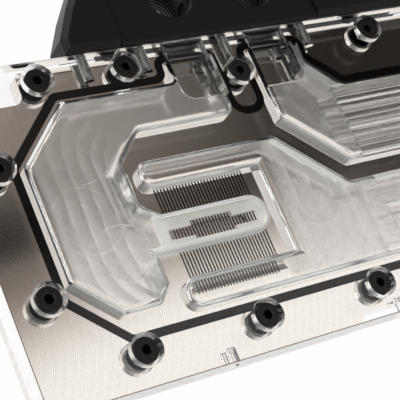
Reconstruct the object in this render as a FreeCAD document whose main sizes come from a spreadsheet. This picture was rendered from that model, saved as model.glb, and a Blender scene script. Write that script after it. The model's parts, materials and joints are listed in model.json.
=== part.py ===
import FreeCAD, Part
import math
import os
import Sketcher
from FreeCAD import Vector

# Driving sizes in millimetres, measured from the left front corner of the clear top
SIZES = [
    ("block_length", 215.0, "clear top along X"),
    ("block_width", 94.0, "clear top along Y"),
    ("top_thickness", 7.0, "clear top"),
    ("plate_thickness", 5.0, "cold plate"),
    ("top_gap", 0.05, "clear top above the plate, held there by the rubber"),
    ("standoff_height", 2.0, "standoffs under the cold plate"),
    ("plate_inset", 0.8, "cold plate edge inside the clear top's edge"),
    ("outer_corner", 1.5, "corner radius of the clear top and the plate"),
    ("notch_x", 26.4, "corner cut of the plate along X"),
    ("notch_depth", 10.0, "corner cut of the plate from the clear top's back edge"),
    ("notch_round", 3.0, "radius in the corner cut"),
    ("front_cut_left", 97.0, "start of the shallow cut in the plate's front edge"),
    ("front_cut_length", 38.0, "length of that cut"),
    ("front_cut_depth", 3.0, "depth of that cut"),
    # Gasket line, as the middle of its groove
    ("gasket_left", 16.4, "left run"),
    ("gasket_front", 14.1, "front run"),
    ("gasket_back", 9.4, "left part of the back run, from the back edge"),
    ("gasket_step", 19.5, "right part of the back run, from the back edge"),
    ("gasket_rear", 3.1, "run behind the scoops, from the back edge"),
    ("gasket_cut_front", 13.9, "corner cut at the front corners"),
    ("gasket_cut_left", 18.6, "corner cut at the left back corner"),
    ("gasket_cut_right", 10.1, "corner cut at the right back corner"),
    ("gasket_turn_x", 69.9, "where the line turns back beside the left scoop"),
    ("loop_left", 88.4, "left leg of the loop round the middle screw"),
    ("loop_right", 98.1, "right leg of that loop"),
    ("loop_front", 23.7, "front end of that loop, from the back edge"),
    ("gasket_right_turn", 119.5, "where the line leaves the right scoop"),
    ("gasket_width", 2.4, "rubber across"),
    ("gasket_height", 1.6, "depth of its groove"),
    ("gasket_gap", 0.05, "play between the rubber and its groove at each side"),
    ("gasket_bend", 1.5, "bend radius of the rubber's inner edge"),
    ("loop_bend", 3.0, "the same at the front of the loop"),
    # Pockets milled into the underside of the clear top
    ("land_side", 0.75, "clear land between groove and pocket at the left"),
    ("land_back", 1.45, "the same at the back"),
    ("land_front", 1.55, "the same at the front"),
    ("pocket_roof", 1.9, "clear material left over a pocket"),
    ("scoop_roof", 1.1, "clear material left over a scoop"),
    ("shelf_roof", 3.6, "clear material left over the grooved shelf"),
    ("ceiling_round", 2.0, "between the walls and the ceilings of the milled pockets"),
    ("corner_extra", 0.2, "corner radius of the pockets beyond that round"),
    ("left_front_y", 20.3, "front wall of the left pocket"),
    ("left_front_cut", 11.3, "front corner cut of the left pocket"),
    ("left_back_cut", 16.7, "back corner cut of the left pocket"),
    ("throat_x", 44.9, "right wall of the left pocket's front bay"),
    ("throat_cut", 4.4, "corner cut of that bay"),
    ("slot_cut_x", 4.8, "slope from the slot to the neck along X"),
    ("slot_cut_y", 3.9, "the same along Y"),
    ("slot_front", 33.3, "front wall of the middle slot"),
    ("slot_back", 44.3, "back wall of the middle slot"),
    ("slot_end", 83.0, "round end of the middle slot"),
    ("slot_round", 5.3, "radius of that end"),
    ("neck_x", 45.7, "wall between the left pocket and the rear branch"),
    ("neck_y", 60.5, "where that wall turns"),
    ("bay_depth", 25.0, "front wall of the left scoop's bay, from the back edge"),
    ("bay_x", 54.0, "where that wall ends"),
    ("bay_corner", 3.5, "corner radius of the bays"),
    ("branch_left", 49.0, "round ends of the two branches"),
    ("branch_back", 60.2, "back wall of the rear branch"),
    ("island_back", 52.2, "back wall of the island"),
    ("island_right", 85.8, "right wall of the island"),
    ("island_front", 25.6, "front wall of the island"),
    ("branch_round", 3.6, "radius of the branches' ends"),
    ("branch_turn", 94.6, "where the rear branch's wall starts its diagonal"),
    ("rib_front", 41.6, "front face of the long rib"),
    ("rib_back", 47.6, "back face of the long rib"),
    ("bay_turn", 29.0, "where the right bay's left wall turns, from the back edge"),
    ("bay_cut", 3.0, "right bay wider than its scoop at the right"),
    ("bay_slope", 9.4, "slope from the right bay to its back wall"),
    ("shelf_left", 121.5, "start of the grooved shelf"),
    ("shelf_length", 52.0, "grooved shelf along X"),
    ("shelf_pitch", 3.8, "grooves in the shelf, one to the next"),
    ("shelf_groove", 2.3, "groove across"),
    ("shelf_groove_depth", 1.1, "groove"),
    ("shelf_margin", 1.4, "pocket wall to the first groove"),
    ("turn_room", 20.0, "room at the right end where the flow turns"),
    ("scoop_width", 14.4, "scoop along X"),
    ("scoop_front", 18.8, "front of the scoops, from the back edge"),
    ("scoop_back", 5.5, "back of the scoops, from the back edge"),
    ("scoop_corner", 4.0, "corner radius of a scoop"),
    ("channel_width", 14.0, "flow channel from the back face"),
    ("channel_height", 3.2, "the same, its height"),
    ("channel_drop", 3.6, "middle of the channels below the top face"),
    # Cooling fins and the plate over them
    ("core_x", 66.9, "middle of the fins along X"),
    ("core_y", 38.0, "middle of the chip along Y"),
    ("fin_pitch", 1.0, "one fin to the next"),
    ("fin_gap", 0.5, "channel between two fins"),
    ("fin_depth", 2.6, "channel depth"),
    ("fin_front", 21.7, "front end of the channels"),
    ("fin_back", 54.0, "back end of the channels"),
    ("fin_field", 29.0, "fins along X"),
    ("jet_thickness", 0.6, "jet plate"),
    ("jet_left", 49.6, "left end of the jet plate"),
    ("jet_play", 0.25, "play between jet plate and slot"),
    ("jet_middle", 39.25, "middle of the jet opening along Y"),
    ("jet_slit_length", 28.6, "long slit of the jet opening"),
    ("jet_slit_width", 3.0, "the same, across"),
    ("jet_wide_length", 13.4, "wide middle of the jet opening"),
    ("jet_wide_width", 5.9, "the same, across"),
    # Screws of the clear top
    ("screw_front", 9.9, "front row from the front edge"),
    ("screw_back", 5.3, "back row from the back edge"),
    ("screw_side", 11.2, "side rows from the ends"),
    ("screw_side_front", 28.8, "front screw of a side row"),
    ("screw_side_back", 28.4, "back screw of a side row, from the back edge"),
    ("screw_end", 30.8, "outer screw of the front and back rows from the ends"),
    ("screw_second", 58.0, "second screw of the back row"),
    ("screw_row_2", 68.1, "second screw of the front row"),
    ("screw_row_3", 106.7, "third screw of the front row"),
    ("screw_row_4", 145.3, "fourth screw of the front row"),
    ("screw_late", 144.8, "screw right of the terminal's ports in the back row"),
    ("screw_middle_x", 93.4, "screw inside the gasket's loop"),
    ("screw_middle_back", 12.1, "the same, from the back edge"),
    ("screw_thread", 4.0, "thread of the top screws"),
    ("screw_length", 7.0, "under the head"),
    ("head_width", 7.0, "low head"),
    ("head_height", 2.8, "low head"),
    ("head_edge", 0.35, "bevel of the head"),
    ("hex_width", 2.5, "socket across flats"),
    ("hex_depth", 1.5, "socket"),
    ("seat_width", 8.9, "counterbore"),
    ("seat_depth", 3.55, "counterbore"),
    ("screw_clearance", 0.5, "hole in the clear top over the thread"),
    ("thread_play", 0.05, "radial play modelled at a tapped hole"),
    ("tap_extra", 0.6, "tapped hole beyond the screw's end"),
    # Small blind holes for lights in the front edge
    ("light_bore", 3.0, "hole"),
    ("light_depth", 4.5, "first hole"),
    ("light_deeper", 0.1, "each next hole goes this much deeper"),
    ("light_drop", 4.0, "middle of the hole below the top face"),
    ("light_first", 54.0, "first hole from the left"),
    ("light_pitch", 56.5, "one hole to the next"),
    # Terminal with the two threaded ports
    ("terminal_left", 40.6, "left end"),
    ("terminal_right", 176.0, "right end"),
    ("terminal_depth", 27.0, "along Y"),
    ("wing_low", 6.6, "underside of the terminal's two ends"),
    ("foot_inset", 15.0, "ends beyond the part that reaches down to the card"),
    ("terminal_rise", 1.8, "middle part above the clear top"),
    ("cover_rise", 2.65, "end covers above the clear top"),
    ("cover_drop", 0.6, "underside of the end covers below the clear top's face"),
    ("cover_bevel", 1.75, "bevel round the covers"),
    ("middle_bevel", 0.8, "bevel along the middle part"),
    ("middle_left", 58.4, "joint of the left cover"),
    ("middle_right", 126.8, "joint of the right cover"),
    ("cover_seam", 0.25, "open joint beside each cover"),
    ("end_straight", 4.5, "straight part of the terminal's ends"),
    ("end_slope_x", 5.5, "first slope of the ends along X"),
    ("end_slope_y", 9.5, "first slope of the ends along Y"),
    ("end_back_x", 9.0, "second slope of the ends along X"),
    ("port_x", 79.0, "first port from the left"),
    ("port_pitch", 28.4, "first port to second"),
    ("port_set_back", 13.3, "ports behind the terminal's front face"),
    ("port_bore", 13.2, "G1/4 thread, outer diameter"),
    ("port_bevel", 0.6, "bevel of the port's mouth"),
    ("seal_gap", 0.4, "channel edge to seal"),
    ("seal_width", 1.1, "seal across"),
    ("seal_depth", 1.0, "seal, pressed flat"),
    ("bolt_thread", 3.0, "terminal screws"),
    ("bolt_length", 10.0, "under the head"),
    ("bolt_head", 5.5, "head"),
    ("bolt_head_height", 3.0, "head"),
    ("bolt_hex_depth", 1.3, "socket"),
    ("bolt_clearance", 0.4, "hole in the terminal over the thread"),
    ("bolt_hex", 2.5, "socket across flats"),
    ("bolt_seat", 2.9, "material under the head"),
    ("bolt_bore", 6.0, "counterbore"),
    ("bolt_tap_extra", 0.45, "tapped hole beyond the screw's end"),
    ("bolt_1", 46.2, "terminal screws from the left"),
    ("bolt_2", 64.9, "second"),
    ("bolt_3", 92.8, "third"),
    ("bolt_4", 121.4, "fourth"),
    ("bolt_room", 1.0, "open pocket behind the first screw, under the cover"),
    # Contact faces under the plate
    ("pedestal_side", 30.0, "contact face over the chip"),
    ("pedestal_height", 1.0, "contact face"),
    ("pad_height", 0.7, "raised strips"),
    ("pad_width", 12.0, "raised strips"),
    ("pad_gap", 4.8, "contact face to the strip beside it"),
    ("card_pitch", 58.4, "standoffs round the chip"),
    ("standoff_width", 6.5, "standoff"),
    ("standoff_bore", 2.5, "tapped hole"),
    ("standoff_tap", 4.0, "tapped hole's depth"),
]

class Size:
    """A length with its number and the sheet expression that it comes from."""

    def __init__(self, text, value):
        self.text = text
        self.value = value

    def _join(self, sign, other, value):
        text = other.text if isinstance(other, Size) else repr(float(other))
        return Size("(%s %s %s)" % (self.text, sign, text), value)

    def __add__(self, other):
        return self._join("+", other, self.value + number(other))

    def __sub__(self, other):
        return self._join("-", other, self.value - number(other))

    def __mul__(self, other):
        return self._join("*", other, self.value * number(other))

    def __truediv__(self, other):
        return self._join("/", other, self.value / number(other))


def number(item):
    return item.value if isinstance(item, Size) else float(item)


doc = FreeCAD.newDocument("water_block")
sheet = doc.addObject("Spreadsheet::Sheet", "Sizes")
for row, (alias, value, note) in enumerate(SIZES, start=1):
    sheet.set("A%d" % row, alias)
    sheet.set("B%d" % row, str(value))
    sheet.set("C%d" % row, note)
    sheet.setAlias("B%d" % row, alias)
doc.recompute()


def size(alias):
    return Size("Sizes." + alias, float(sheet.get(alias)))


ZERO = Size("0", 0.0)
length = size("block_length")
width = size("block_width")
plate_low = size("standoff_height")
plate_top = plate_low + size("plate_thickness")
sheet_low = plate_top + size("top_gap")
face = sheet_low + size("top_thickness")
bodies = []


# Sketches and features

def new_body(label):
    """A body whose own frame starts at the clear top's left front corner, under the standoffs."""
    body = doc.addObject("PartDesign::Body", label)
    body.Label = label
    body.setExpression("Placement.Base.x", "-Sizes.block_length / 2")
    body.setExpression("Placement.Base.y", "-(Sizes.block_width + Sizes.terminal_depth) / 2")
    bodies.append(body)
    return body


def origin_plane(body, role):
    for feature in body.Origin.OriginFeatures:
        if feature.Role == role:
            return feature
    raise ValueError(role)


def sketch_at(body, name, height, role="XY_Plane"):
    """An empty sketch on one of the body's own planes, shifted along that plane's normal."""
    sketch = body.newObject("Sketcher::SketchObject", name)
    sketch.AttachmentSupport = (origin_plane(body, role), [""])
    sketch.MapMode = "FlatFace"
    sketch.setExpression("AttachmentOffset.Base.z", height.text)
    return sketch


def pin(sketch, line, end, x, y):
    for kind, place in (("DistanceX", x), ("DistanceY", y)):
        row = sketch.addConstraint(Sketcher.Constraint(kind, -1, 1, line, end, place.value))
        sketch.setExpression("Constraints[%d]" % row, place.text)


def add_loop(sketch, corners):
    """Straight lines through the corners, each corner tied to the sketch's origin."""
    first = sketch.GeometryCount
    count = len(corners)
    for index in range(count):
        start, end = corners[index], corners[(index + 1) % count]
        ends = [Vector(x.value, y.value, 0) for x, y in (start, end)]
        sketch.addGeometry(Part.LineSegment(*ends))
    for index in range(count):
        after = first + (index + 1) % count
        sketch.addConstraint(Sketcher.Constraint("Coincident", first + index, 2, after, 1))
    for index, (x, y) in enumerate(corners):
        pin(sketch, first + index, 1, x, y)


def add_circle(sketch, x, y, diameter):
    line = sketch.addGeometry(Part.Circle(Vector(x.value, y.value, 0), Vector(0, 0, 1), diameter.value / 2))
    pin(sketch, line, 3, x, y)
    row = sketch.addConstraint(Sketcher.Constraint("Diameter", line, diameter.value))
    sketch.setExpression("Constraints[%d]" % row, diameter.text)


def box_corners(x_low, x_high, y_low, y_high):
    return [(x_low, y_low), (x_high, y_low), (x_high, y_high), (x_low, y_high)]


def hexagon(x, y, across):
    reach = across / math.sqrt(3)
    corners = []
    for step in range(6):
        turn = math.radians(60 * step)
        corners.append((x + reach * math.cos(turn), y + reach * math.sin(turn)))
    return corners


def raise_up(body, name, sketch, height, down=False):
    pad = body.newObject("PartDesign::Pad", name)
    pad.Profile = sketch
    pad.Reversed = down
    pad.setExpression("Length", height.text)
    doc.recompute()
    return pad


def sink(body, name, sketch, depth, upwards=False):
    """Cuts from the sketch down into the solid, or up into it, and makes sure that it did."""
    before = body.Shape.Volume
    pocket = body.newObject("PartDesign::Pocket", name)
    pocket.Profile = sketch
    pocket.Reversed = upwards
    pocket.setExpression("Length", depth.text)
    doc.recompute()
    if body.Shape.Volume > before - 1e-6:
        raise RuntimeError(name + " cuts nothing")
    return pocket


def upright_edges(body, corners, low, high):
    """Names of the upright edges that stand on the given corners between two heights."""
    names = []
    shape = body.Tip.Shape
    for index, edge in enumerate(shape.Edges, start=1):
        if len(edge.Vertexes) != 2:
            continue
        start, end = edge.Vertexes[0].Point, edge.Vertexes[1].Point
        if abs(start.x - end.x) + abs(start.y - end.y) > 1e-6:
            continue
        middle = (start.z + end.z) / 2
        if not low.value < middle < high.value:
            continue
        if any(abs(start.x - x.value) + abs(start.y - y.value) < 1e-3 for x, y in corners):
            names.append("Edge%d" % index)
    return names


def round_corners(body, name, corners, low, high, radius):
    edges = upright_edges(body, corners, low, high)
    if not edges:
        raise RuntimeError(name + " finds no edge")
    base = body.Tip
    fillet = body.newObject("PartDesign::Fillet", name)
    fillet.Base = (base, edges)
    fillet.setExpression("Radius", radius.text)
    doc.recompute()
    return fillet


def level_edges(body, test):
    """Names of the straight or round edges whose middle point passes a test."""
    names = []
    for index, edge in enumerate(body.Tip.Shape.Edges, start=1):
        middle = edge.valueAt((edge.FirstParameter + edge.LastParameter) / 2)
        box = edge.BoundBox
        if test(middle, box):
            names.append("Edge%d" % index)
    return names


def soften_ceiling(body, name, pocket, height, radius):
    """Rounds the inner edge all round the flat ceiling that starts at the pocket's lowest X."""
    shape = body.Tip.Shape
    start = min(x.value for x, y in pocket)
    names = []
    for face in shape.Faces:
        box = face.BoundBox
        level = abs(box.ZMin - height.value) + abs(box.ZMax - height.value) < 1e-4
        if not level or abs(box.XMin - start) > 1e-3:
            continue
        for index, edge in enumerate(shape.Edges, start=1):
            if any(edge.isSame(other) for other in face.Edges):
                names.append("Edge%d" % index)
    if not names:
        raise RuntimeError(name + " finds no edge")
    base = body.Tip
    before = shape.Volume
    fillet = body.newObject("PartDesign::Fillet", name)
    fillet.Base = (base, names)
    fillet.setExpression("Radius", radius.text)
    doc.recompute()
    if body.Shape.Volume < before + 1:
        raise RuntimeError(name + " adds nothing")
    return fillet


def bevel(body, name, edges, reach):
    if not edges:
        raise RuntimeError(name + " finds no edge")
    base = body.Tip
    chamfer = body.newObject("PartDesign::Chamfer", name)
    chamfer.Base = (base, edges)
    chamfer.setExpression("Size", reach.text)
    doc.recompute()
    return chamfer


def drill(body, name, places, diameter, height, depth, upwards=False):
    """Round holes of one size, all from one level."""
    sketch = sketch_at(body, name + "_sketch", height)
    for x, y in places:
        add_circle(sketch, x, y, diameter)
    return sink(body, name, sketch, depth, upwards)


# Gasket line and what follows it

def diagonal_shift(corners, reach, closed=True):
    """Moves every run of a chain of corners sideways, to the left of its direction."""
    moved = []
    count = len(corners)
    for index in range(count):
        x, y = corners[index]
        before = corners[(index - 1) % count] if closed or index > 0 else None
        after = corners[(index + 1) % count] if closed or index < count - 1 else None
        sides = []
        for start, end in ((before, (x, y)), ((x, y), after)):
            if start is not None and end is not None:
                along = Vector(end[0].value - start[0].value, end[1].value - start[1].value, 0).normalize()
                sides.append(Vector(-along.y, along.x, 0))
        middle = sum(sides, Vector(0, 0, 0)) / len(sides)
        scale = 1 / middle.dot(middle)
        moved.append((x + reach * (middle.x * scale), y + reach * (middle.y * scale)))
    return moved


gasket_left = size("gasket_left")
gasket_right = length - size("gasket_left")
gasket_front = size("gasket_front")
gasket_back = width - size("gasket_back")
gasket_step = width - size("gasket_step")
gasket_rear = width - size("gasket_rear")
loop_front = width - size("loop_front")
cut_front = size("gasket_cut_front")
cut_left = size("gasket_cut_left")
cut_right = size("gasket_cut_right")
turn_x = size("gasket_turn_x")
right_turn = size("gasket_right_turn")
gasket_line = [
    (gasket_left, gasket_front + cut_front),
    (gasket_left + cut_front, gasket_front),
    (gasket_right - cut_front, gasket_front),
    (gasket_right, gasket_front + cut_front),
    (gasket_right, gasket_step - cut_right),
    (gasket_right - cut_right, gasket_step),
    (right_turn + cut_right, gasket_step),
    (right_turn, gasket_step + cut_right),
    (right_turn, gasket_rear),
    (size("loop_right"), gasket_rear),
    (size("loop_right"), loop_front),
    (size("loop_left"), loop_front),
    (size("loop_left"), gasket_rear),
    (turn_x, gasket_rear),
    (turn_x, gasket_back),
    (gasket_left + cut_left, gasket_back),
    (gasket_left, gasket_back - cut_left),
]
half_rubber = size("gasket_width") / 2
half_groove = half_rubber + size("gasket_gap")
rubber_inner = diagonal_shift(gasket_line, half_rubber)
rubber_outer = diagonal_shift(gasket_line, half_rubber * -1.0)
groove_inner = diagonal_shift(gasket_line, half_groove)
groove_outer = diagonal_shift(gasket_line, half_groove * -1.0)


def turns_left(corners, index):
    x, y = corners[index]
    x_before, y_before = corners[index - 1]
    x_after, y_after = corners[(index + 1) % len(corners)]
    into = Vector(x.value - x_before.value, y.value - y_before.value, 0)
    out_of = Vector(x_after.value - x.value, y_after.value - y.value, 0)
    return into.cross(out_of).z > 0


def ring_sketch(body, name, height, inner, outer):
    sketch = sketch_at(body, name, height)
    add_loop(sketch, outer)
    add_loop(sketch, inner)
    return sketch


def round_ring(body, name, inner, outer, low, high, play):
    """Bends a ring's corners: the tight radius inside each turn and the wide one outside it."""
    across = size("gasket_width") + play * 2
    loop = [index for index, (x, y) in enumerate(gasket_line) if y is loop_front]
    others = [index for index in range(len(gasket_line)) if index not in loop]
    for group, chosen, bend in (("loop", loop, "loop_bend"), ("turns", others, "gasket_bend")):
        tight_corners = []
        wide_corners = []
        for index in chosen:
            left = turns_left(gasket_line, index)
            tight_corners.append(inner[index] if left else outer[index])
            wide_corners.append(outer[index] if left else inner[index])
        tight = size(bend) - play
        round_corners(body, "%s_%s_tight" % (name, group), tight_corners, low, high, tight)
        round_corners(body, "%s_%s_wide" % (name, group), wide_corners, low, high, tight + across)


# Cold plate: nickel plated copper

inset = size("plate_inset")
notch_x = size("notch_x")
notch_y = width - size("notch_depth")
cut_left_x = size("front_cut_left")
cut_depth = size("front_cut_depth")
cut_right_x = cut_left_x + size("front_cut_length")
plate_back = width - inset
plate_corners = [
    (inset, inset),
    (cut_left_x, inset),
    (cut_left_x + cut_depth, inset + cut_depth),
    (cut_right_x - cut_depth, inset + cut_depth),
    (cut_right_x, inset),
    (length - inset, inset),
    (length - inset, plate_back),
    (notch_x, plate_back),
    (notch_x, notch_y),
    (inset, notch_y),
]

screw_front = size("screw_front")
screw_back = width - size("screw_back")
screw_side = size("screw_side")
screw_end = size("screw_end")
side_front = size("screw_side_front")
side_back = width - size("screw_side_back")
screw_places = [
    (screw_end, screw_front),
    (size("screw_row_2"), screw_front),
    (size("screw_row_3"), screw_front),
    (size("screw_row_4"), screw_front),
    (length - screw_end, screw_front),
    (length - screw_side, side_front),
    (length - screw_side, side_back),
    (length - screw_end, screw_back),
    (size("screw_late"), screw_back),
    (size("screw_middle_x"), width - size("screw_middle_back")),
    (size("screw_second"), screw_back),
    (screw_end, screw_back),
    (screw_side, side_back),
    (screw_side, side_front),
]
thread = size("screw_thread")
seat_depth = size("seat_depth")
core_x = size("core_x")
core_y = size("core_y")
half_card = size("card_pitch") / 2
standoff_places = [
    (core_x - half_card, core_y - half_card),
    (core_x + half_card, core_y - half_card),
    (core_x - half_card, core_y + half_card),
    (core_x + half_card, core_y + half_card),
    (core_x + size("card_pitch") * 1.5, core_y - half_card),
    (core_x + size("card_pitch") * 1.5, core_y + half_card),
    (length - screw_side, core_y + half_card / 4),
    (screw_side, core_y + half_card / 4),
]


def make_cold_plate():
    body = new_body("cold_plate")
    outline = sketch_at(body, "outline", plate_low)
    add_loop(outline, plate_corners)
    raise_up(body, "plate", outline, size("plate_thickness"))
    ends = [plate_corners[0], plate_corners[5], plate_corners[6], plate_corners[7], plate_corners[9]]
    round_corners(body, "plate_corners", ends, plate_low, plate_top, size("outer_corner"))
    round_corners(body, "notch_corner", [plate_corners[8]], plate_low, plate_top, size("notch_round"))
    half_side = size("pedestal_side") / 2
    chip_front = core_y - half_side
    chip_back = core_y + half_side
    chip = sketch_at(body, "chip_sketch", plate_low)
    add_loop(chip, box_corners(core_x - half_side, core_x + half_side, chip_front, chip_back))
    raise_up(body, "chip_pedestal", chip, size("pedestal_height"), down=True)
    strips = sketch_at(body, "strips_sketch", plate_low)
    strip = size("pad_width")
    left_strip = core_x - half_side - size("pad_gap") - strip
    shelf = size("shelf_left")
    shelf_end = shelf + size("shelf_length")
    add_loop(strips, box_corners(left_strip, left_strip + strip, chip_front, chip_back))
    add_loop(strips, box_corners(shelf, shelf_end, gasket_front + strip, gasket_front + strip * 2))
    add_loop(strips, box_corners(shelf, shelf_end, gasket_step - strip * 2, gasket_step - strip))
    raise_up(body, "component_strips", strips, size("pad_height"), down=True)
    posts = sketch_at(body, "posts_sketch", plate_low)
    for x, y in standoff_places:
        add_circle(posts, x, y, size("standoff_width"))
    raise_up(body, "standoffs", posts, size("standoff_height"), down=True)
    bore = size("standoff_bore")
    drill(body, "standoff_taps", standoff_places, bore, ZERO, size("standoff_tap"), upwards=True)
    groove = ring_sketch(body, "groove_sketch", plate_top, groove_inner, groove_outer)
    sink(body, "gasket_groove", groove, size("gasket_height"))
    groove_floor = plate_top - size("gasket_height")
    round_ring(body, "groove", groove_inner, groove_outer, groove_floor, plate_top, size("gasket_gap"))
    tap_depth = seat_depth + size("screw_length") + size("tap_extra") - (face - plate_top)
    drill(body, "screw_taps", screw_places, thread + size("thread_play") * 2, plate_top, tap_depth)
    first = core_x - size("fin_field") / 2
    slot = sketch_at(body, "fin_sketch", plate_top)
    add_loop(slot, box_corners(first, first + size("fin_gap"), size("fin_front"), size("fin_back")))
    channel = sink(body, "fin_channel", slot, size("fin_depth"))
    pattern = body.newObject("PartDesign::LinearPattern", "fin_channels")
    pattern.Originals = [channel]
    pattern.Direction = (origin_plane(body, "X_Axis"), [""])
    pattern.setExpression("Length", "Sizes.fin_field - Sizes.fin_pitch")
    pattern.Occurrences = round(size("fin_field").value / size("fin_pitch").value)
    body.Tip = pattern
    doc.recompute()
    return body


make_cold_plate()


def rubber_gasket():
    body = new_body("main_gasket")
    low = plate_top - size("gasket_height")
    sketch = ring_sketch(body, "line", low, rubber_inner, rubber_outer)
    raise_up(body, "rubber", sketch, sheet_low - low)
    round_ring(body, "rubber", rubber_inner, rubber_outer, low, sheet_low, ZERO)
    return body


rubber_gasket()


# Clear top

left_wall = gasket_left + half_groove + size("land_side")
right_wall = length - left_wall
front_wall = gasket_front + half_groove + size("land_front")
back_wall = gasket_back - half_groove - size("land_back")
step_wall = gasket_step - half_groove - size("land_back")
port_x = size("port_x")
port_2_x = port_x + size("port_pitch")
half_scoop = size("scoop_width") / 2
scoop_back = width - size("scoop_back")
scoop_front = width - size("scoop_front")
left_bay_y = width - size("bay_depth")
slot_front = size("slot_front")
slot_back = size("slot_back")
slot_end = size("slot_end")
left_front_y = size("left_front_y")
left_front_cut = size("left_front_cut")
left_back_cut = size("left_back_cut")
throat_x = size("throat_x")
throat_cut = size("throat_cut")
neck_x = size("neck_x")
neck_y = size("neck_y")
slot_neck_x = neck_x + size("slot_cut_x")
slot_neck_y = slot_back + size("slot_cut_y")
left_pocket = [
    (left_wall, left_front_y + left_front_cut),
    (left_wall + left_front_cut, left_front_y),
    (throat_x - throat_cut, left_front_y),
    (throat_x, left_front_y + throat_cut),
    (throat_x, slot_front),
    (slot_end, slot_front),
    (slot_end, slot_back),
    (slot_neck_x, slot_back),
    (neck_x, slot_neck_y),
    (neck_x, neck_y),
    (size("bay_x"), left_bay_y),
    (port_x + half_scoop, left_bay_y),
    (port_x + half_scoop, scoop_back),
    (port_x - half_scoop, scoop_back),
    (port_x - half_scoop, back_wall),
    (left_wall + left_back_cut, back_wall),
    (left_wall, back_wall - left_back_cut),
]
branch_left = size("branch_left")
branch_back = size("branch_back")
branch_turn = size("branch_turn")
island_right = size("island_right")
island_back = size("island_back")
island_front = size("island_front")
rib_front = size("rib_front")
rib_back = size("rib_back")
rib_end = right_wall - size("turn_room")
bay_left = port_2_x - half_scoop
bay_right = port_2_x + half_scoop + size("bay_cut")
bay_slope = size("bay_slope")
bay_turn = width - size("bay_turn")
right_pocket = [
    (branch_left, front_wall),
    (right_wall - cut_front, front_wall),
    (right_wall, front_wall + cut_front),
    (right_wall, step_wall - cut_right),
    (right_wall - cut_right, step_wall),
    (bay_right + bay_slope, step_wall),
    (bay_right, step_wall + bay_slope),
    (bay_right, scoop_back),
    (bay_left, scoop_back),
    (bay_left, bay_turn),
    (bay_left + (bay_turn - rib_back), rib_back),
    (rib_end, rib_back),
    (rib_end, rib_front),
    (branch_turn + (branch_back - rib_front), rib_front),
    (branch_turn, branch_back),
    (branch_left, branch_back),
    (branch_left, island_back),
    (island_right, island_back),
    (island_right, island_front),
    (branch_left, island_front),
]
pocket_corner = size("ceiling_round") + size("corner_extra")
pocket_depth = size("top_thickness") - size("pocket_roof")
roof = sheet_low + pocket_depth
shelf_low = face - size("shelf_roof")
shelf_left = size("shelf_left")
shelf_right = shelf_left + size("shelf_length")
channel_z = face - size("channel_drop")
bolt_thread = size("bolt_thread")
bolt_places = [(size(name), channel_z) for name in ("bolt_1", "bolt_2", "bolt_3", "bolt_4")]
bolt_reach = size("bolt_length") - size("bolt_seat")


def add_long_hole(sketch, x, y, long, high):
    """A slot with round ends, long along the sketch's X."""
    radius = high / 2
    half = (long - high) / 2
    left = x - half
    right = x + half
    bottom = y.value - radius.value
    top = y.value + radius.value
    up = Vector(0, 0, 1)
    first = sketch.GeometryCount
    right_circle = Part.Circle(Vector(right.value, y.value, 0), up, radius.value)
    left_circle = Part.Circle(Vector(left.value, y.value, 0), up, radius.value)
    sketch.addGeometry(Part.LineSegment(Vector(left.value, bottom, 0), Vector(right.value, bottom, 0)))
    sketch.addGeometry(Part.ArcOfCircle(right_circle, -math.pi / 2, math.pi / 2))
    sketch.addGeometry(Part.LineSegment(Vector(right.value, top, 0), Vector(left.value, top, 0)))
    sketch.addGeometry(Part.ArcOfCircle(left_circle, math.pi / 2, 3 * math.pi / 2))
    for line, end, other, start in ((0, 2, 1, 1), (1, 2, 2, 1), (2, 2, 3, 1), (3, 2, 0, 1)):
        sketch.addConstraint(Sketcher.Constraint("Tangent", first + line, end, first + other, start))
    pin(sketch, first + 1, 3, right, y)
    pin(sketch, first + 3, 3, left, y)
    row = sketch.addConstraint(Sketcher.Constraint("Radius", first + 1, radius.value))
    sketch.setExpression("Constraints[%d]" % row, radius.text)


def upright_sketch(body, name, y):
    """A sketch facing the front, at a distance from the front edge: its Y is the block's Z."""
    return sketch_at(body, name, ZERO - y, "XZ_Plane")


def shelf_grooves(body, name, first_y, last_y):
    """Grooves side by side along the shelf, between two pocket walls."""
    room = last_y.value - first_y.value - 2 * size("shelf_margin").value - size("shelf_groove").value
    count = 1 + int(room / size("shelf_pitch").value)
    sketch = sketch_at(body, name + "_sketch", shelf_low)
    middle = first_y + size("shelf_margin") + size("shelf_groove") / 2
    run = size("shelf_length") + size("shelf_groove")
    add_long_hole(sketch, shelf_left + size("shelf_length") / 2, middle, run, size("shelf_groove"))
    groove = sink(body, name, sketch, size("shelf_groove_depth"), upwards=True)
    pattern = body.newObject("PartDesign::LinearPattern", name + "_row")
    pattern.Originals = [groove]
    pattern.Direction = (origin_plane(body, "Y_Axis"), [""])
    pattern.Length = size("shelf_pitch").value * (count - 1)
    pattern.setExpression("Length", "Sizes.shelf_pitch * %d" % (count - 1))
    pattern.Occurrences = count
    body.Tip = pattern
    doc.recompute()


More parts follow.
